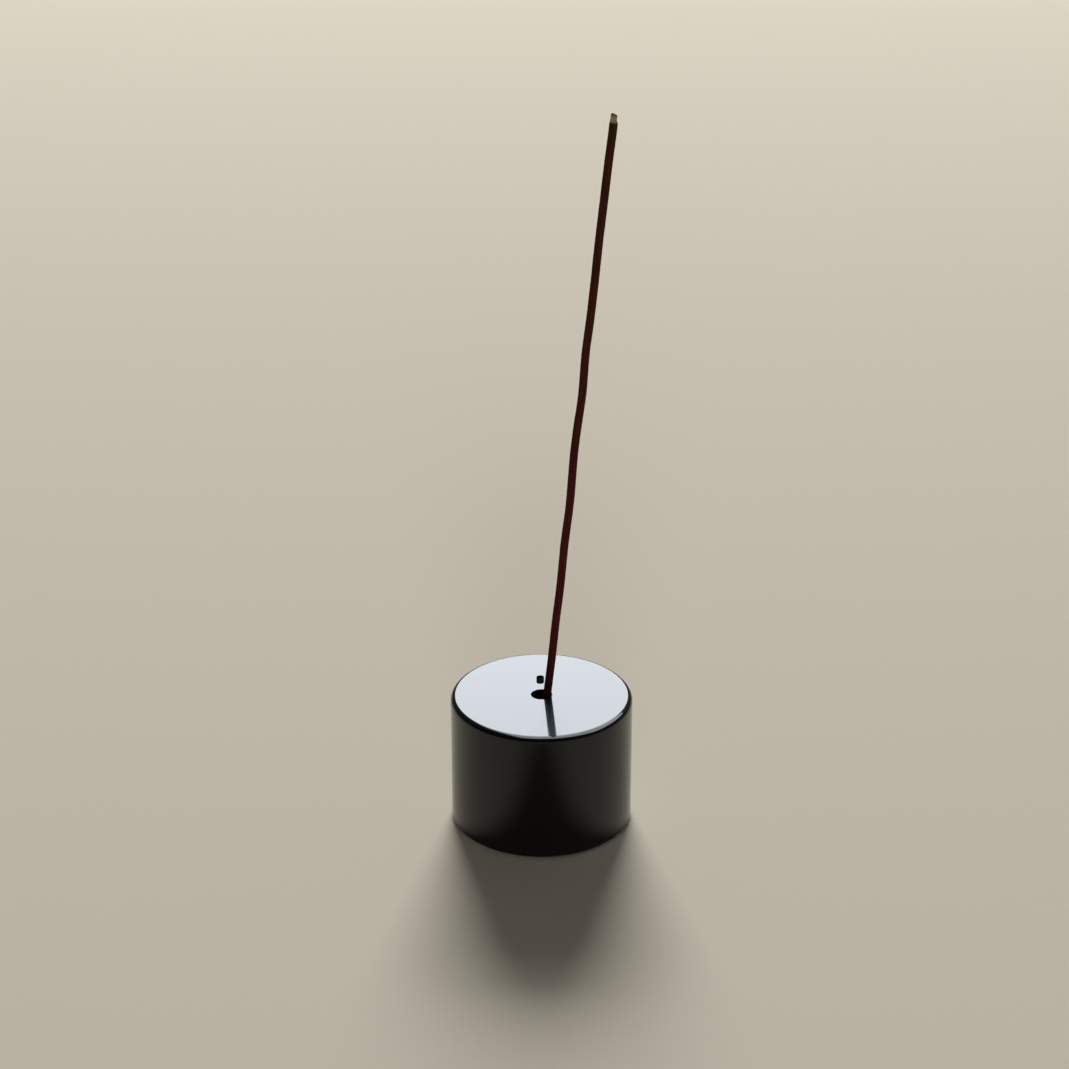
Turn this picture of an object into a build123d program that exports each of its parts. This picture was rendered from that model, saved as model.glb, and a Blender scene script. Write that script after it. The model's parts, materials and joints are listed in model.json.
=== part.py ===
from build123d import *
import os
from math import atan, cos, degrees, sin

# Incense stick holder: a polished black block with one drilled hole, standing on a felt pad,
# with a leaning incense stick that has burnt down a little and carries a crumb of ash.
# Millimetres, +Z up, origin on the table under the middle of the block.

# Block
body_diameter = 50.0
body_height = 37.5            # from the table to the top face
rim_round = 1.5               # radius of the rounded top edge
foot_bevel = 0.6

# Hole for the stick
hole_play = 3.5               # how much wider than the stick the hole is
hole_floor_height = 6.0       # from the table to the floor of the hole
hole_mouth_bevel = 0.1

# Plain sunk oblong behind the hole
mark_gap = 3.1                # from the mouth of the hole to the oblong
mark_aside = -0.35            # from the middle line, towards +X
mark_length = 5.1
mark_width = 2.1
mark_depth = 0.35

# Felt pad let into the underside
pad_border = 4.0              # ring of block left round the pad's pocket
pad_thickness = 1.2
pad_proud = 0.3               # how far the pad stands out of its pocket
pad_clearance = 0.2           # all round, between the pad and its pocket
pad_edge_bevel = 0.15

# Incense stick and its ash
stick_diameter = 2.2
stick_length = 193.2          # the part that has not burnt
stick_end_bevel = 0.12
stick_clearance = 0.12        # between the stick and the hole where it leans and stands
lean_azimuth = 15.0           # degrees, from +X towards +Y
ash_length = 2.7
ash_root_share = 0.86         # of the stick's diameter
ash_top_share = 0.62          # of the stick's diameter
ash_top_round_share = 0.45    # of the ash's top radius

lean_steps = 20               # rounds of the lean's fixed-point search

body_radius = body_diameter / 2
stick_radius = stick_diameter / 2
hole_radius = stick_radius + hole_play / 2
mouth_radius = hole_radius + hole_mouth_bevel
hole_depth = body_height - hole_floor_height
pocket_radius = body_radius - foot_bevel - pad_border
pocket_depth = pad_thickness - pad_proud


def lean_angle():
    # The stick leans on the mouth of the hole on one side and on the wall at its foot on the other.
    across = 2 * (hole_radius - stick_clearance)
    down = hole_depth - hole_mouth_bevel - stick_clearance
    angle = 0
    for _ in range(lean_steps):
        angle = atan((across - 2 * stick_radius * cos(angle)) / down)
    return angle


def stick_place():
    # Foot centre of the stick, turned so that its own +Z runs up the stick.
    angle = lean_angle()
    foot_out = -hole_radius + stick_clearance + stick_radius * cos(angle)
    foot_up = hole_floor_height + stick_clearance + stick_radius * sin(angle)
    turned = Rot(0, 0, lean_azimuth)
    return turned * Pos(foot_out, 0, foot_up) * Rot(0, degrees(angle), 0)


def turned_solid(points):
    # One turn about Z of a closed outline given as (radius, height) points.
    outline = Polyline([(radius, 0, height) for radius, height in points], close=True)
    return revolve(make_face(outline), Axis.Z)


def holder_body():
    underside = pad_proud
    pocket_roof = underside + pocket_depth
    block = turned_solid([
        (0, pocket_roof),
        (pocket_radius, pocket_roof),
        (pocket_radius, underside),
        (body_radius - foot_bevel, underside),
        (body_radius, underside + foot_bevel),
        (body_radius, body_height),
        (mouth_radius, body_height),
        (hole_radius, body_height - hole_mouth_bevel),
        (hole_radius, hole_floor_height),
        (0, hole_floor_height),
    ])
    rim_edge = block.edges().filter_by(GeomType.CIRCLE).group_by(Axis.Z)[-1].sort_by(SortBy.RADIUS)[-1]
    block = fillet(rim_edge, rim_round)
    mark_middle = mouth_radius + mark_gap + mark_length / 2
    oblong = SlotOverall(mark_length, mark_width, rotation=90)
    return block - Pos(mark_aside, mark_middle, body_height) * extrude(oblong, -mark_depth)


def base_pad():
    pad_radius = pocket_radius - pad_clearance
    return turned_solid([
        (0, 0),
        (pad_radius - pad_edge_bevel, 0),
        (pad_radius, pad_edge_bevel),
        (pad_radius, pad_thickness),
        (0, pad_thickness),
    ])


def incense_stick():
    stick = turned_solid([
        (0, 0),
        (stick_radius - stick_end_bevel, 0),
        (stick_radius, stick_end_bevel),
        (stick_radius, stick_length),
        (0, stick_length),
    ])
    return stick_place() * stick


def ash_tip():
    root_radius = stick_radius * ash_root_share
    top_radius = stick_radius * ash_top_share
    crumb = turned_solid([
        (0, stick_length),
        (root_radius, stick_length),
        (top_radius, stick_length + ash_length),
        (0, stick_length + ash_length),
    ])
    top_edge = crumb.edges().filter_by(GeomType.CIRCLE).sort_by(Axis.Z)[-1]
    return stick_place() * fillet(top_edge, top_radius * ash_top_round_share)


os.makedirs("parts", exist_ok=True)
export_step(holder_body(), "parts/holder_body.step")
export_step(base_pad(), "parts/base_pad.step")
export_step(incense_stick(), "parts/incense_stick.step")
export_step(ash_tip(), "parts/ash_tip.step")

print("lean of the stick:", round(degrees(lean_angle()), 3), "degrees")
print("way up the stick:", stick_place().z_axis.direction)
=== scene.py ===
import json
import math
import bmesh
import bpy
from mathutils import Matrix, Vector


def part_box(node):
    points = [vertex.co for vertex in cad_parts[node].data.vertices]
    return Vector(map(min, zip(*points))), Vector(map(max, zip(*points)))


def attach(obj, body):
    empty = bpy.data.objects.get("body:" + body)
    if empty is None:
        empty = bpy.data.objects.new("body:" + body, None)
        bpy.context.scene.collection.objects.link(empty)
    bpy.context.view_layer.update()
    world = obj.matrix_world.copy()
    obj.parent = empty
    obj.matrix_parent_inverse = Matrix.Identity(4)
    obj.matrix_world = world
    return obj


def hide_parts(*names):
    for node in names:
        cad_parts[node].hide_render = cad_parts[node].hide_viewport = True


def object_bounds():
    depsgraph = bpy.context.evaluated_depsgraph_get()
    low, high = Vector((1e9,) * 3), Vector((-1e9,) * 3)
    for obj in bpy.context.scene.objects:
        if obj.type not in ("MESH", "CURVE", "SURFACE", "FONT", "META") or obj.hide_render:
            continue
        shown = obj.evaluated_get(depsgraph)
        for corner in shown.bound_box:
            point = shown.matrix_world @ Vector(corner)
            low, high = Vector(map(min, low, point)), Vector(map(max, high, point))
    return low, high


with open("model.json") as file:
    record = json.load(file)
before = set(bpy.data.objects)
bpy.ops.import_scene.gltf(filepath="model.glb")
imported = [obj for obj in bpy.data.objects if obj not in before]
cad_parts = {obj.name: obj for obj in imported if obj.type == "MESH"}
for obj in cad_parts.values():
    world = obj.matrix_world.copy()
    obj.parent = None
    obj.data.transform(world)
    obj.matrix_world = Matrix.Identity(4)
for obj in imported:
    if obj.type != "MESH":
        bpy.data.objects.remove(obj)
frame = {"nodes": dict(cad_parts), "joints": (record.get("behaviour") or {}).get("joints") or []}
cadLow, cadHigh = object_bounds()
mm = 0.001
tiny = 0.01 * mm          # places closer than this are taken as one
mergeGap = 0.0005 * mm
straightUp = 0.9999       # a normal with more Z than this points straight up
print("frame loaded:", ", ".join(sorted(frame["nodes"])))


# Helpers for colours and nodes

def hexColour(text):
    # an sRGB hex colour as linear red, green, blue, alpha
    channels = [int(text[i:i + 2], 16) / 255 for i in (1, 3, 5)]
    linear = [c / 12.92 if c <= 0.04045 else ((c + 0.055) / 1.055) ** 2.4 for c in channels]
    return (*linear, 1.0)


def repeats(size):
    # the scale of a pattern whose grains are this large
    return 1 / size


def addNode(tree, kind, inputs=None, **settings):
    # a value in inputs is a number or colour to set, or the output of another node to link
    node = tree.nodes.new(kind)
    for name, value in settings.items():
        setattr(node, name, value)
    for name, value in (inputs or {}).items():
        if isinstance(value, bpy.types.NodeSocket):
            tree.links.new(value, node.inputs[name])
        else:
            node.inputs[name].default_value = value
    return node


def newMaterial(name):
    material = bpy.data.materials.new(name)
    material.use_nodes = True
    material.node_tree.nodes.clear()
    return material, material.node_tree


# Helpers for modelling

def deselectAll():
    bpy.ops.object.select_all(action="DESELECT")


def useOnly(piece):
    deselectAll()
    piece.select_set(True)
    bpy.context.view_layer.objects.active = piece


def editMode():
    bpy.ops.object.mode_set(mode="EDIT")


def objectMode():
    bpy.ops.object.mode_set(mode="OBJECT")


def pick(kind, test):
    # in edit mode, select the verts, edges or faces that pass the test
    bpy.ops.mesh.select_mode(type={"verts": "VERT", "edges": "EDGE", "faces": "FACE"}[kind])
    bpy.ops.mesh.select_all(action="DESELECT")
    mesh = bmesh.from_edit_mesh(bpy.context.object.data)
    for item in getattr(mesh, kind):
        item.select_set(bool(test(item)))
    mesh.select_flush_mode()
    bmesh.update_edit_mesh(bpy.context.object.data)


def closeMesh():
    # in edit mode, merge what coincides and turn every face outwards
    bpy.ops.mesh.select_all(action="SELECT")
    bpy.ops.mesh.remove_doubles(threshold=mergeGap)
    bpy.ops.mesh.normals_make_consistent(inside=False)


def applyModifier(piece, kind, **settings):
    modifier = piece.modifiers.new(kind.lower(), kind)
    for name, value in settings.items():
        setattr(modifier, name, value)
    bpy.ops.object.modifier_apply(modifier=modifier.name)


def roughen(piece, name, grain, depth):
    # push the surface in and out by a cloud pattern of this grain
    clouds = bpy.data.textures.new(name, "CLOUDS")
    clouds.noise_scale = grain
    clouds.noise_depth = 3
    applyModifier(
        piece, "DISPLACE", texture=clouds, texture_coords="LOCAL", strength=depth, mid_level=0.5,
        direction="NORMAL")


def onRing(radius, height):
    # a test for the edges that lie on this ring about Z
    def test(edge):
        return all(
            abs(vert.co.z - height) < tiny and abs(math.hypot(vert.co.x, vert.co.y) - radius) < tiny
            for vert in edge.verts)
    return test


def finishPiece(piece, body, node):
    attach(piece, body)
    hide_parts(node)
    print(piece.name, "made:", len(piece.data.polygons), "faces")


# The black block

blockLow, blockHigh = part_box("holder_body")
blockShape = {
    "radius": blockHigh.x,
    "top": blockHigh.z,
    "underside": blockLow.z,
    "sides": 256,
    "rimRound": 1.5 * mm,
    "rimSteps": 18,
    "footBevel": 0.6 * mm,
    "footRound": 0.12 * mm,
    "footSteps": 3,
    "holeRadius": 2.85 * mm,
    "holeFloor": 6.0 * mm,
    "mouthBevel": 0.1 * mm,
    "mouthRound": 0.03 * mm,
    "pocketBorder": 4.0 * mm,
    "pocketDepth": 0.9 * mm,
    "markLength": 5.1 * mm,
    "markWidth": 2.1 * mm,
    "markDepth": 0.35 * mm,
    "markGap": 3.1 * mm,
    "markAside": -0.35 * mm,
    "markSides": 64,
    "smoothAngle": 35,
}


def makeBlock(shape):
    footRadius = shape["radius"] - shape["footBevel"]
    pocketRadius = footRadius - shape["pocketBorder"]
    mouthRadius = shape["holeRadius"] + shape["mouthBevel"]
    mouthLow = shape["top"] - shape["mouthBevel"]
    footTop = shape["underside"] + shape["footBevel"]
    # from the floor of the hole, over the top and down to the roof of the pocket
    rings = (
        (shape["holeRadius"], shape["holeFloor"]),
        (shape["holeRadius"], mouthLow),
        (mouthRadius, shape["top"]),
        (shape["radius"], shape["top"]),
        (shape["radius"], footTop),
        (footRadius, shape["underside"]),
        (pocketRadius, shape["underside"]),
        (pocketRadius, shape["underside"] + shape["pocketDepth"]),
    )
    radius, height = rings[0]
    deselectAll()
    bpy.ops.mesh.primitive_circle_add(
        vertices=shape["sides"], radius=radius, fill_type="NGON", location=(0, 0, height))
    block = bpy.context.object
    block.name = "black_glass_block"
    bpy.ops.object.transform_apply(location=True, rotation=True, scale=True)
    editMode()
    pick("edges", lambda edge: True)
    for nextRadius, nextHeight in rings[1:]:
        bpy.ops.mesh.extrude_edges_move(TRANSFORM_OT_translate={"value": (0, 0, nextHeight - height)})
        growth = nextRadius / radius
        bpy.ops.transform.resize(value=(growth, growth, 1), center_override=(0, 0, nextHeight))
        radius, height = nextRadius, nextHeight
    bpy.ops.mesh.edge_face_add()
    closeMesh()
    roundings = (
        (shape["radius"], shape["top"], shape["rimRound"], shape["rimSteps"]),
        (shape["radius"], footTop, shape["footRound"], shape["footSteps"]),
        (footRadius, shape["underside"], shape["footRound"], shape["footSteps"]),
        (mouthRadius, shape["top"], shape["mouthRound"], shape["footSteps"]),
        (shape["holeRadius"], mouthLow, shape["mouthRound"], shape["footSteps"]),
    )
    for ringRadius, ringHeight, width, steps in roundings:
        pick("edges", onRing(ringRadius, ringHeight))
        bpy.ops.mesh.bevel(offset=width, segments=steps, profile=0.5)
    closeMesh()
    objectMode()
    return block


def cutMark(block, shape):
    # a plain sunk oblong behind the hole
    stretch = shape["markLength"] - shape["markWidth"]
    nearEnd = shape["holeRadius"] + shape["mouthBevel"] + shape["markGap"] + shape["markWidth"] / 2
    deselectAll()
    bpy.ops.mesh.primitive_cylinder_add(
        vertices=shape["markSides"], radius=shape["markWidth"] / 2, depth=2 * shape["markDepth"],
        location=(shape["markAside"], nearEnd, shape["top"]))
    cutter = bpy.context.object
    bpy.ops.object.transform_apply(location=True, rotation=True, scale=True)
    editMode()
    pick("verts", lambda vert: vert.co.y > nearEnd + tiny)
    bpy.ops.transform.translate(value=(0, stretch, 0))
    objectMode()
    useOnly(block)
    applyModifier(block, "BOOLEAN", object=cutter, operation="DIFFERENCE", solver="EXACT")
    bpy.data.objects.remove(cutter)


glassLook = {
    "deepColour": "#030304",
    "warmColour": "#0B0807",
    "topDustAndSheenColour": "#161D23",   # a breath of dust on the top, tinted blue as a painted sheen of the bluish light it mirrors
    "topDustAndSheenDepth": 0.05 * mm,
    "cloudSize": 16 * mm,
    "smearSize": 9 * mm,
    "smearFrom": 0.35,         # levels of the smear pattern at which dulling starts and is full
    "smearTo": 0.75,
    "clearRoughness": 0.04,
    "smearedRoughness": 0.08,
    "hazeWeight": 0.15,
    "hazeRoughness": 0.35,
    "ior": 1.4,                # a little under plain glass, for a deeper black
    "groundDark": "#030304",
    "groundPale": "#0B0A0A",
    "groundRoughness": 0.9,
    "groundGloss": 0.04,
    "gritSize": 0.17 * mm,
    "gritDepth": 0.03 * mm,
}


def blackGlass(look, top):
    # cast and polished: deep black under a clear mirror, which faint smears and a thin haze dull a little
    material, tree = newMaterial("polished_black_glass")
    place = addNode(tree, "ShaderNodeTexCoord").outputs["Object"]
    cloud = addNode(tree, "ShaderNodeTexNoise", {
        "Vector": place, "Scale": repeats(look["cloudSize"]), "Detail": 3})
    colour = addNode(tree, "ShaderNodeMix", {
        "Factor": cloud.outputs["Fac"], "A": hexColour(look["deepColour"]),
        "B": hexColour(look["warmColour"])}, data_type="RGBA")
    # the top face gets a breath of dust with a painted bluish sheen mixed into its colour
    height = addNode(tree, "ShaderNodeSeparateXYZ", {"Vector": place}).outputs["Z"]
    onTop = addNode(tree, "ShaderNodeMapRange", {
        "Value": height, "From Min": top - look["topDustAndSheenDepth"], "From Max": top})
    dustAndSheen = addNode(tree, "ShaderNodeMix", {
        "Factor": onTop.outputs["Result"], "A": colour.outputs["Result"],
        "B": hexColour(look["topDustAndSheenColour"])}, data_type="RGBA")
    smear = addNode(tree, "ShaderNodeTexNoise", {
        "Vector": place, "Scale": repeats(look["smearSize"]), "Detail": 5, "Roughness": 0.6,
        "Distortion": 1.2})
    rough = addNode(tree, "ShaderNodeMapRange", {
        "Value": smear.outputs["Fac"], "From Min": look["smearFrom"], "From Max": look["smearTo"],
        "To Min": look["clearRoughness"], "To Max": look["smearedRoughness"]})
    shader = addNode(tree, "ShaderNodeBsdfPrincipled", {
        "Base Color": dustAndSheen.outputs["Result"], "Roughness": rough.outputs["Result"], "IOR": look["ior"],
        "Coat Weight": look["hazeWeight"], "Coat Roughness": look["hazeRoughness"],
        "Coat IOR": look["ior"]})
    addNode(tree, "ShaderNodeOutputMaterial", {"Surface": shader.outputs[0]})
    return material


def groundGlass(look):
    # the same glass where it was drilled or ground: dull, with a fine even grit
    material, tree = newMaterial("ground_black_glass")
    place = addNode(tree, "ShaderNodeTexCoord").outputs["Object"]
    grit = addNode(tree, "ShaderNodeTexNoise", {
        "Vector": place, "Scale": repeats(look["gritSize"]), "Detail": 2})
    colour = addNode(tree, "ShaderNodeMix", {
        "Factor": grit.outputs["Fac"], "A": hexColour(look["groundDark"]),
        "B": hexColour(look["groundPale"])}, data_type="RGBA")
    bump = addNode(tree, "ShaderNodeBump", {
        "Height": grit.outputs["Fac"], "Strength": 0.4, "Distance": look["gritDepth"]})
    shader = addNode(tree, "ShaderNodeBsdfPrincipled", {
        "Base Color": colour.outputs["Result"], "Roughness": look["groundRoughness"], "IOR": look["ior"],
        "Specular IOR Level": look["groundGloss"], "Normal": bump.outputs["Normal"]})
    addNode(tree, "ShaderNodeOutputMaterial", {"Surface": shader.outputs[0]})
    return material


def isGround(spot, shape):
    # the hole, the sunk oblong and the pocket underneath
    radius = math.hypot(spot.x, spot.y)
    pocketRadius = shape["radius"] - shape["footBevel"] - shape["pocketBorder"]
    if spot.z < shape["holeFloor"] - tiny:
        return radius < pocketRadius + tiny
    belowTop = spot.z < shape["top"] - shape["mouthBevel"] - shape["mouthRound"]
    return belowTop and radius < shape["radius"] / 2


def flattenTop(shape):
    # the top is dead flat right up to its edges, so that it mirrors without a ripple
    editMode()
    pick("faces", lambda face: face.normal.z > straightUp and face.verts[0].co.z > shape["top"] - tiny)
    bpy.ops.mesh.set_normals_from_faces(keep_sharp=True)
    objectMode()


block = makeBlock(blockShape)
cutMark(block, blockShape)
bpy.ops.object.shade_smooth_by_angle(angle=math.radians(blockShape["smoothAngle"]))
applyModifier(block, "WEIGHTED_NORMAL", mode="FACE_AREA", weight=100, keep_sharp=True)
flattenTop(blockShape)
block.data.materials.append(blackGlass(glassLook, blockShape["top"]))
block.data.materials.append(groundGlass(glassLook))
for face in block.data.polygons:
    face.material_index = int(isGround(face.center, blockShape))
finishPiece(block, "holder", "holder_body")


# The felt pad

padLow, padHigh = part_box("base_pad")
padShape = {
    "radius": padHigh.x,
    "low": padLow.z,
    "thickness": padHigh.z - padLow.z,
    "sides": 160,
    "edgeBevel": 0.15 * mm,
    "edgeSteps": 3,
    "insetWidth": 1.2 * mm,
    "insets": 14,
    "fuzzGrain": 0.9 * mm,
    "fuzzDepth": 0.06 * mm,
    "smoothAngle": 50,
}


def makePad(shape):
    deselectAll()
    bpy.ops.mesh.primitive_cylinder_add(
        vertices=shape["sides"], radius=shape["radius"] - shape["fuzzDepth"], depth=shape["thickness"],
        location=(0, 0, shape["low"] + shape["thickness"] / 2))
    pad = bpy.context.object
    pad.name = "felt_base_pad"
    bpy.ops.object.transform_apply(location=True, rotation=True, scale=True)
    editMode()
    pick("edges", lambda edge: all(abs(vert.co.z - shape["low"]) < tiny for vert in edge.verts))
    bpy.ops.mesh.bevel(offset=shape["edgeBevel"], segments=shape["edgeSteps"], profile=0.5)
    pick("faces", lambda face: abs(face.normal.z) > straightUp)
    for _ in range(shape["insets"]):
        bpy.ops.mesh.inset(thickness=shape["insetWidth"], use_boundary=True)
    closeMesh()
    objectMode()
    roughen(pad, "fuzz", shape["fuzzGrain"], shape["fuzzDepth"])
    # press the underside flat again where it stands
    editMode()
    pick("verts", lambda vert: vert.co.z < shape["low"])
    bpy.ops.transform.resize(value=(1, 1, 0), center_override=(0, 0, shape["low"]))
    objectMode()
    bpy.ops.object.shade_smooth_by_angle(angle=math.radians(shape["smoothAngle"]))
    return pad


feltLook = {
    "darkFibre": "#151416",
    "paleFibre": "#3A383A",
    "fibreLength": 3.3 * mm,
    "fibreTurns": (10, 47, 84, 121, 158),
    "fibreWidth": 0.24 * mm,   # coarser than wool, so that it shows
    "fibreFrom": 0.52,         # levels of the fibre pattern from dark to pale
    "fibreTo": 0.8,
    "napDepth": 0.12 * mm,
    "roughness": 0.95,
    "ior": 1.5,
    "gloss": 0.2,
    "sheen": 0.25,
    "sheenRoughness": 0.5,
}


def feltCloth(look):
    # matted wool: short pale and dark fibres lying every way, and a soft nap
    material, tree = newMaterial("charcoal_felt")
    place = addNode(tree, "ShaderNodeTexCoord").outputs["Object"]
    tangle = 0
    for turn in look["fibreTurns"]:
        along = addNode(tree, "ShaderNodeMapping", {
            "Vector": place, "Rotation": (0, 0, math.radians(turn)),
            "Scale": (look["fibreLength"], look["fibreWidth"], look["fibreWidth"])}, vector_type="TEXTURE")
        fibres = addNode(tree, "ShaderNodeTexNoise", {
            "Vector": along.outputs["Vector"], "Scale": 1, "Detail": 3, "Distortion": 0.8})
        tangle = addNode(tree, "ShaderNodeMath", {
            0: fibres.outputs["Fac"], 1: tangle}, operation="MAXIMUM").outputs[0]
    level = addNode(tree, "ShaderNodeMapRange", {
        "Value": tangle, "From Min": look["fibreFrom"], "From Max": look["fibreTo"]})
    colour = addNode(tree, "ShaderNodeMix", {
        "Factor": level.outputs["Result"], "A": hexColour(look["darkFibre"]),
        "B": hexColour(look["paleFibre"])}, data_type="RGBA")
    bump = addNode(tree, "ShaderNodeBump", {
        "Height": level.outputs["Result"], "Strength": 0.7, "Distance": look["napDepth"]})
    shader = addNode(tree, "ShaderNodeBsdfPrincipled", {
        "Base Color": colour.outputs["Result"], "Roughness": look["roughness"], "IOR": look["ior"],
        "Specular IOR Level": look["gloss"], "Sheen Weight": look["sheen"],
        "Sheen Roughness": look["sheenRoughness"], "Normal": bump.outputs["Normal"]})
    addNode(tree, "ShaderNodeOutputMaterial", {"Surface": shader.outputs[0]})
    return material


pad = makePad(padShape)
pad.data.materials.append(feltCloth(feltLook))
finishPiece(pad, "holder", "base_pad")


# The incense stick

stickAxis = Vector(frame["joints"][0]["axis"]).normalized()
stickLow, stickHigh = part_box("incense_stick")
stickShape = {
    "radius": 1.1 * mm,
    "sides": 36,
    "cuts": 21,            # the long edges are cut twice, each time into one more than this
    "footBevel": 0.12 * mm,
    "footSteps": 2,
    "burntTaper": 0.99,
    "burntReach": 5 * mm,
    "bends": (             # height up the stick, reach of the bend, way towards +X and +Y
        (43 * mm, 13 * mm, 0.09 * mm, 0),
        (64 * mm, 13 * mm, 0.17 * mm, 0.1 * mm),
        (90 * mm, 14 * mm, 0.19 * mm, 0),
        (104 * mm, 18 * mm, -0.24 * mm, -0.15 * mm),
        (121 * mm, 13 * mm, 0.17 * mm, 0),
        (130 * mm, 13 * mm, -0.22 * mm, 0.12 * mm),
        (162 * mm, 13 * mm, -0.09 * mm, -0.1 * mm),
        (193 * mm, 14 * mm, 0.19 * mm, 0),
    ),
    "girthGrain": 6 * mm,
    "girthDepth": 0.07 * mm,
    "powderGrain": 0.5 * mm,
    "powderDepth": 0.06 * mm,
    "smoothAngle": 40,
}
reachAside = Vector([math.sqrt(1 - part * part) for part in stickAxis]) * stickShape["radius"]
stickFoot = stickLow + reachAside
stickLength = (stickHigh - reachAside - stickFoot).dot(stickAxis)
stickTurn = Vector((0, 0, 1)).rotation_difference(stickAxis)


def leanPiece(piece):
    # from upright at the origin to the stick's place in the hole
    useOnly(piece)
    piece.rotation_mode = "QUATERNION"
    piece.rotation_quaternion = stickTurn
    piece.location = stickFoot
    bpy.ops.object.transform_apply(location=True, rotation=True, scale=True)


def makeStick(shape):
    deselectAll()
    bpy.ops.mesh.primitive_cylinder_add(
        vertices=shape["sides"], radius=shape["radius"], depth=stickLength,
        location=(0, 0, stickLength / 2))
    stick = bpy.context.object
    stick.name = "pressed_incense_stick"
    bpy.ops.object.transform_apply(location=True, rotation=True, scale=True)
    editMode()
    pick("edges", lambda edge: all(vert.co.z < tiny for vert in edge.verts))
    bpy.ops.mesh.bevel(offset=shape["footBevel"], segments=shape["footSteps"], profile=0.5)
    for _ in range(2):
        pick("edges", lambda edge: abs(edge.verts[0].co.z - edge.verts[1].co.z) > 2 * shape["footBevel"])
        bpy.ops.mesh.subdivide(number_cuts=shape["cuts"])
    step = stickLength / (shape["cuts"] + 1) ** 2
    for height, reach, right, back in shape["bends"]:
        ring = min(height, stickLength - step / 4)
        pick("verts", lambda vert: abs(vert.co.z - ring) < step / 2)
        bpy.ops.transform.translate(
            value=(right, back, 0), use_proportional_edit=True, proportional_edit_falloff="SMOOTH",
            proportional_size=reach)
    pick("verts", lambda vert: vert.co.z > stickLength - tiny)
    topRight, topBack = shape["bends"][-1][2:]
    bpy.ops.transform.resize(
        value=(shape["burntTaper"], shape["burntTaper"], 1),
        center_override=(topRight, topBack, stickLength), use_proportional_edit=True,
        proportional_edit_falloff="SPHERE", proportional_size=shape["burntReach"])
    closeMesh()
    objectMode()
    roughen(stick, "girth", shape["girthGrain"], shape["girthDepth"])
    roughen(stick, "powder", shape["powderGrain"], shape["powderDepth"])
    bpy.ops.object.shade_smooth_by_angle(angle=math.radians(shape["smoothAngle"]))
    leanPiece(stick)
    return stick


def alongStick(tree):
    # Object coordinates turned so that Z runs up the stick from its foot
    place = addNode(tree, "ShaderNodeTexCoord").outputs["Object"]
    turned = addNode(tree, "ShaderNodeMapping", {
        "Vector": place, "Location": stickFoot, "Rotation": stickTurn.to_euler()}, vector_type="TEXTURE")
    return turned.outputs["Vector"]


incenseLook = {
    "maroonPatch": "#410A0E",
    "brownPatch": "#3A1305",
    "dryColour": "#2D1604",    # browner towards the burnt end
    "charColour": "#2D1E04",
    "paintedShadeColour": "#1E0A07",   # painted shade: darker low down, where the hole shades the stick
    "lineWidth": 0.38 * mm,
    "lineLength": 6.4 * mm,
    "crumbSize": 0.31 * mm,    # coarser than the ground powder, so that it shows
    "grainFrom": 0.12,         # levels of the grain pattern from dark to pale crumbs
    "grainTo": 0.4,
    "darkCrumb": 0.34,         # how much darker or paler the crumbs are than the powder
    "paleCrumb": 1.68,
    "grainDepth": 0.1 * mm,
    "patchSize": 9 * mm,
    "patchFrom": 0.42,         # levels of the patch pattern from maroon to brown
    "patchTo": 0.6,
    "dryFrom": 70 * mm,
    "dryShare": 0.7,
    "paintedShadeLow": 30 * mm,
    "paintedShadeHigh": 46 * mm,
    "charLength": 5.5 * mm,
    "charRagged": 1.5 * mm,
    "roughness": 0.9,
    "ior": 1.45,
    "gloss": 0.2,
}


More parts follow.
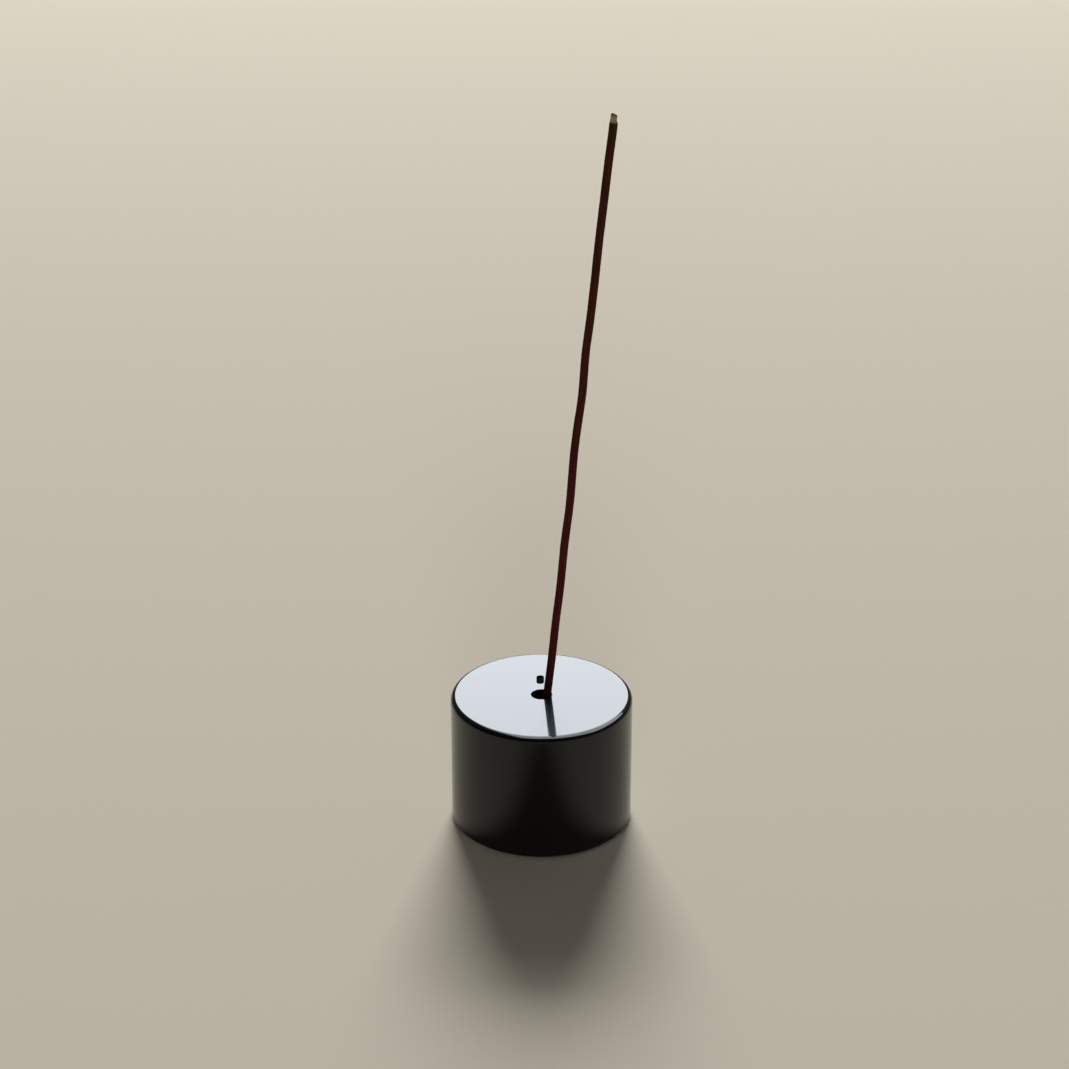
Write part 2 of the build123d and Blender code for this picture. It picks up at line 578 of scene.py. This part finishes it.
def pressedIncense(look):
    # rolled plant powder: dull red-brown with dark crumbs and drawn-out lines, charred at the burnt end,
    # with painted shade darkening its lower end near the hole
    material, tree = newMaterial("pressed_incense")
    along = alongStick(tree)
    height = addNode(tree, "ShaderNodeSeparateXYZ", {"Vector": along}).outputs["Z"]
    drawn = addNode(tree, "ShaderNodeMapping", {
        "Vector": along, "Scale": (1, 1, look["lineWidth"] / look["lineLength"])})
    lines = addNode(tree, "ShaderNodeTexNoise", {
        "Vector": drawn.outputs["Vector"], "Scale": repeats(look["lineWidth"]), "Detail": 3})
    crumbs = addNode(tree, "ShaderNodeTexNoise", {
        "Vector": along, "Scale": repeats(look["crumbSize"]), "Detail": 4, "Roughness": 0.65})
    grain = addNode(tree, "ShaderNodeMath", {
        0: lines.outputs["Fac"], 1: crumbs.outputs["Fac"]}, operation="MULTIPLY")
    relief = addNode(tree, "ShaderNodeMapRange", {
        "Value": grain.outputs["Value"], "From Min": look["grainFrom"], "From Max": look["grainTo"]})
    shade = addNode(tree, "ShaderNodeMapRange", {
        "Value": relief.outputs["Result"], "To Min": look["darkCrumb"], "To Max": look["paleCrumb"]})
    dryness = addNode(tree, "ShaderNodeMapRange", {
        "Value": height, "From Min": look["dryFrom"], "From Max": stickLength, "To Max": look["dryShare"]})
    patchNoise = addNode(tree, "ShaderNodeTexNoise", {
        "Vector": along, "Scale": repeats(look["patchSize"]), "Detail": 2})
    patchLevel = addNode(tree, "ShaderNodeMapRange", {
        "Value": patchNoise.outputs["Fac"], "From Min": look["patchFrom"], "From Max": look["patchTo"]})
    patch = addNode(tree, "ShaderNodeMix", {
        "Factor": patchLevel.outputs["Result"], "A": hexColour(look["maroonPatch"]),
        "B": hexColour(look["brownPatch"])}, data_type="RGBA")
    dried = addNode(tree, "ShaderNodeMix", {
        "Factor": dryness.outputs["Result"], "A": patch.outputs["Result"],
        "B": hexColour(look["dryColour"])}, data_type="RGBA")
    # painted shade: the stick is darkened towards its lower end, standing in for the shade near the hole
    paintedShadeLevel = addNode(tree, "ShaderNodeMapRange", {
        "Value": height, "From Min": look["paintedShadeLow"], "From Max": look["paintedShadeHigh"]})
    paintedShaded = addNode(tree, "ShaderNodeMix", {
        "Factor": paintedShadeLevel.outputs["Result"], "A": hexColour(look["paintedShadeColour"]),
        "B": dried.outputs["Result"]}, data_type="RGBA")
    ragged = addNode(tree, "ShaderNodeMath", {
        0: crumbs.outputs["Fac"], 1: look["charRagged"], 2: height}, operation="MULTIPLY_ADD")
    burnt = addNode(tree, "ShaderNodeMapRange", {
        "Value": ragged.outputs["Value"], "From Min": stickLength - look["charLength"],
        "From Max": stickLength}, interpolation_type="SMOOTHSTEP")
    charred = addNode(tree, "ShaderNodeMix", {
        "Factor": burnt.outputs["Result"], "A": paintedShaded.outputs["Result"],
        "B": hexColour(look["charColour"])}, data_type="RGBA")
    colour = addNode(tree, "ShaderNodeMix", {
        "Factor": 1, "A": charred.outputs["Result"], "B": shade.outputs["Result"]},
        data_type="RGBA", blend_type="MULTIPLY")
    bump = addNode(tree, "ShaderNodeBump", {
        "Height": relief.outputs["Result"], "Strength": 0.9, "Distance": look["grainDepth"]})
    shader = addNode(tree, "ShaderNodeBsdfPrincipled", {
        "Base Color": colour.outputs["Result"], "Roughness": look["roughness"], "IOR": look["ior"],
        "Specular IOR Level": look["gloss"], "Normal": bump.outputs["Normal"]})
    addNode(tree, "ShaderNodeOutputMaterial", {"Surface": shader.outputs[0]})
    return material


stick = makeStick(stickShape)
stick.data.materials.append(pressedIncense(incenseLook))
finishPiece(stick, "stick", "incense_stick")


# The crumb of ash

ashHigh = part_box("ash_tip")[1]
crumbleRise = 0.2 * mm     # its crumbling makes the ash this much longer
leftOfStick = 0.1 * mm
ashShape = {
    "length": (ashHigh.z - stickHigh.z) / stickAxis.z - crumbleRise,
    "rootRadius": 0.92 * mm,
    "topShare": 0.82,
    "aside": stickShape["bends"][-1][2] - leftOfStick,
    "sides": 40,
    "cuts": 20,
    "insets": 4,
    "rootInset": 0.2 * mm,
    "topInset": 0.07 * mm,
    "topBevel": 0.42 * mm,
    "bevelSteps": 6,
    "slump": 0.32 * mm,
    "slumpReach": 0.9 * mm,
    "crumbleGrain": 0.8 * mm,
    "crumbleDepth": 0.45 * mm,
    "flakeGrain": 0.28 * mm,
    "flakeDepth": 0.14 * mm,
    "smoothAngle": 60,
}


def makeAsh(shape):
    ashTop = stickLength + shape["length"]
    deselectAll()
    bpy.ops.mesh.primitive_cylinder_add(
        vertices=shape["sides"], radius=shape["rootRadius"], depth=shape["length"],
        location=(shape["aside"], 0, stickLength + shape["length"] / 2))
    ash = bpy.context.object
    ash.name = "incense_ash"
    bpy.ops.object.transform_apply(location=True, rotation=True, scale=True)
    editMode()
    pick("edges", lambda edge: abs(edge.verts[0].co.z - edge.verts[1].co.z) > tiny)
    bpy.ops.mesh.subdivide(number_cuts=shape["cuts"])
    pick("verts", lambda vert: vert.co.z > ashTop - tiny)
    bpy.ops.transform.resize(
        value=(shape["topShare"], shape["topShare"], 1), center_override=(shape["aside"], 0, ashTop),
        use_proportional_edit=True, proportional_edit_falloff="LINEAR", proportional_size=shape["length"])
    pick("edges", lambda edge: all(vert.co.z > ashTop - tiny for vert in edge.verts))
    bpy.ops.mesh.bevel(offset=shape["topBevel"], segments=shape["bevelSteps"], profile=0.5)
    for up, width in ((-1, shape["rootInset"]), (1, shape["topInset"])):
        pick("faces", lambda face: up * face.normal.z > straightUp)
        for _ in range(shape["insets"]):
            bpy.ops.mesh.inset(thickness=width, use_boundary=True)
    # one side of the top has crumbled lower
    lowSide = shape["aside"] + shape["rootRadius"] / 3
    pick("verts", lambda vert: vert.co.z > ashTop - shape["topBevel"] and vert.co.x > lowSide)
    bpy.ops.transform.translate(
        value=(0, 0, -shape["slump"]), use_proportional_edit=True, proportional_edit_falloff="SMOOTH",
        proportional_size=shape["slumpReach"])
    closeMesh()
    objectMode()
    roughen(ash, "crumble", shape["crumbleGrain"], shape["crumbleDepth"])
    roughen(ash, "flake", shape["flakeGrain"], shape["flakeDepth"])
    bpy.ops.object.shade_smooth_by_angle(angle=math.radians(shape["smoothAngle"]))
    leanPiece(ash)
    return ash


ashLook = {
    "rootColour": "#6B5A26",
    "middleColour": "#9A8260",
    "topColour": "#5F574D",
    "crackColour": "#332D25",
    "flakeSize": 0.29 * mm,
    "flakeDepth": 0.1 * mm,
    "raggedness": 1.6 * mm,
    "paleFrom": 0.4,           # heights as shares of the ash's length
    "greyFrom": 0.5,
    "greyTo": 0.9,
    "crackFrom": 0.3,          # levels of the flake pattern from crack to flake
    "crackTo": 0.5,
    "roughness": 1.0,
    "ior": 1.45,
    "gloss": 0.1,
}


def incenseAsh(look, length):
    # soft crumbling ash, olive where it meets the char, then pale tan, grey at the top, with dark cracks
    material, tree = newMaterial("incense_ash")
    along = alongStick(tree)
    height = addNode(tree, "ShaderNodeSeparateXYZ", {"Vector": along}).outputs["Z"]
    flakes = addNode(tree, "ShaderNodeTexNoise", {
        "Vector": along, "Scale": repeats(look["flakeSize"]), "Detail": 5, "Roughness": 0.7})
    ragged = addNode(tree, "ShaderNodeMath", {
        0: flakes.outputs["Fac"], 1: look["raggedness"], 2: height}, operation="MULTIPLY_ADD")
    base = stickLength + look["raggedness"] / 2
    lowLevel = addNode(tree, "ShaderNodeMapRange", {
        "Value": ragged.outputs["Value"], "From Min": base, "From Max": base + look["paleFrom"] * length})
    lowTone = addNode(tree, "ShaderNodeMix", {
        "Factor": lowLevel.outputs["Result"], "A": hexColour(look["rootColour"]),
        "B": hexColour(look["middleColour"])}, data_type="RGBA")
    highLevel = addNode(tree, "ShaderNodeMapRange", {
        "Value": ragged.outputs["Value"], "From Min": base + look["greyFrom"] * length,
        "From Max": base + look["greyTo"] * length})
    tone = addNode(tree, "ShaderNodeMix", {
        "Factor": highLevel.outputs["Result"], "A": lowTone.outputs["Result"],
        "B": hexColour(look["topColour"])}, data_type="RGBA")
    crack = addNode(tree, "ShaderNodeMapRange", {
        "Value": flakes.outputs["Fac"], "From Min": look["crackFrom"], "From Max": look["crackTo"]})
    colour = addNode(tree, "ShaderNodeMix", {
        "Factor": crack.outputs["Result"], "A": hexColour(look["crackColour"]),
        "B": tone.outputs["Result"]}, data_type="RGBA")
    bump = addNode(tree, "ShaderNodeBump", {
        "Height": flakes.outputs["Fac"], "Strength": 0.8, "Distance": look["flakeDepth"]})
    shader = addNode(tree, "ShaderNodeBsdfPrincipled", {
        "Base Color": colour.outputs["Result"], "Roughness": look["roughness"], "IOR": look["ior"],
        "Specular IOR Level": look["gloss"], "Normal": bump.outputs["Normal"]})
    addNode(tree, "ShaderNodeOutputMaterial", {"Surface": shader.outputs[0]})
    return material


ash = makeAsh(ashShape)
ash.data.materials.append(incenseAsh(ashLook, ashShape["length"]))
finishPiece(ash, "stick", "ash_tip")


# Floor, light and camera

stageSettings = {
    "floorSize": 12.0,
    "floorColour": "#EADCC6",
    "floorRoughness": 0.9,
    "lightColour": "#F2F9FF",
    "windowUp": 28.3,         # degrees, where the flat top mirrors it to the camera
    "windowAcross": 22,
    "windowRadiance": 8.5,
    "keyPlace": (0, 4.2, 1.75),
    "keySize": (2.2, 1.4),
    "keyPower": 240,
    "fillUp": 5,
    "fillAcross": 16,
    "fillPower": 1.6,
    "overheadPlace": (0.58, 0.5, 1.2),
    "overheadSize": (1.85, 1.7),
    "overheadPower": 54,
    "roomFront": 0.03,
    "roomBack": 0.1,
    "roomColour": "#FFFFFF",
    "roomTurn": (-0.5, 0.8),  # the way towards the back over which it brightens
}


def makeStage(settings):
    deselectAll()
    bpy.ops.mesh.primitive_plane_add(size=settings["floorSize"], location=(0, 0, cadLow.z))
    floor = bpy.context.object
    floor.name = "floor"
    # pale matt paper, with no shine
    material, tree = newMaterial("floor_paper")
    shader = addNode(tree, "ShaderNodeBsdfPrincipled", {
        "Base Color": hexColour(settings["floorColour"]), "Roughness": settings["floorRoughness"],
        "Specular IOR Level": 0})
    addNode(tree, "ShaderNodeOutputMaterial", {"Surface": shader.outputs[0]})
    floor.data.materials.append(material)


def addLamp(name, kind, settings, place=(0, 0, 0), turn=(0, 0, 0)):
    lamp = bpy.data.lights.new(name, kind)
    lamp.color = hexColour(settings["lightColour"])[:3]
    holder = bpy.data.objects.new(name, lamp)
    bpy.context.scene.collection.objects.link(holder)
    holder.location = place
    holder.rotation_euler = turn
    holder.visible_camera = False
    return lamp, holder


def addSun(name, settings, turn, across, power):
    # a soft round lamp far off, this many degrees across
    sun, holder = addLamp(name, "SUN", settings, turn=(math.radians(turn), 0, 0))
    sun.angle = math.radians(across)
    sun.energy = power
    return holder


def addPanel(name, settings, place, size, power, target):
    # a soft flat lamp that shines at the target
    turn = (Vector(place) - Vector(target)).to_track_quat("Z", "Y").to_euler()
    panel, holder = addLamp(name, "AREA", settings, place, turn)
    panel.shape = "RECTANGLE"
    panel.size, panel.size_y = size
    panel.energy = power
    return holder


def makeLamps(settings):
    # a window behind, which the top mirrors
    across = settings["windowAcross"]
    power = settings["windowRadiance"] * math.pi * math.sin(math.radians(across) / 2) ** 2
    addSun("window_light", settings, settings["windowUp"] - 90, across, power)
    # two that the glass doesn't mirror: a soft panel behind and a low light in front
    key = addPanel(
        "key_light", settings, settings["keyPlace"], settings["keySize"], settings["keyPower"],
        (0, 0, cadHigh.z / 2))
    key.visible_glossy = False
    fill = addSun(
        "fill_light", settings, 90 - settings["fillUp"], settings["fillAcross"], settings["fillPower"])
    fill.visible_glossy = False
    # and one overhead that only draws a band of light on the rounded rim
    place = settings["overheadPlace"]
    overhead = addPanel(
        "overhead_light", settings, place, settings["overheadSize"], settings["overheadPower"],
        (place[0], place[1], 0))
    overhead.visible_diffuse = False


def makeRoom(settings):
    # a dim room, brighter behind than in front
    world = bpy.data.worlds.new("studio")
    bpy.context.scene.world = world
    world.use_nodes = True
    tree = world.node_tree
    tree.nodes.clear()
    way = addNode(tree, "ShaderNodeTexCoord").outputs["Generated"]
    back = addNode(tree, "ShaderNodeSeparateXYZ", {"Vector": way}).outputs["Y"]
    turnFrom, turnTo = settings["roomTurn"]
    level = addNode(tree, "ShaderNodeMapRange", {
        "Value": back, "From Min": turnFrom, "From Max": turnTo, "To Min": settings["roomFront"],
        "To Max": settings["roomBack"]}, interpolation_type="SMOOTHSTEP")
    background = addNode(tree, "ShaderNodeBackground", {
        "Color": hexColour(settings["roomColour"]), "Strength": level.outputs["Result"]})
    addNode(tree, "ShaderNodeOutputWorld", {"Surface": background.outputs[0]})


cameraSettings = {
    "place": (-1.94 * mm, -678.58 * mm, 403.44 * mm),
    "lookDown": 25.07,
    "focalPixels": 2800,
    "imagePixels": 1069,
    "sensorWidth": 36,
    "clipStart": 10 * mm,
}


def makeCamera(settings):
    camera = bpy.data.cameras.new("camera")
    camera.sensor_width = settings["sensorWidth"]
    camera.lens = camera.sensor_width * settings["focalPixels"] / settings["imagePixels"]
    camera.clip_start = settings["clipStart"]
    holder = bpy.data.objects.new("camera", camera)
    bpy.context.scene.collection.objects.link(holder)
    holder.location = settings["place"]
    holder.rotation_euler = (math.radians(90 - settings["lookDown"]), 0, 0)
    bpy.context.scene.camera = holder


makeStage(stageSettings)
makeLamps(stageSettings)
makeRoom(stageSettings)
makeCamera(cameraSettings)
bpy.context.scene.view_settings.view_transform = "Standard"
print("stage, lamps and camera made")
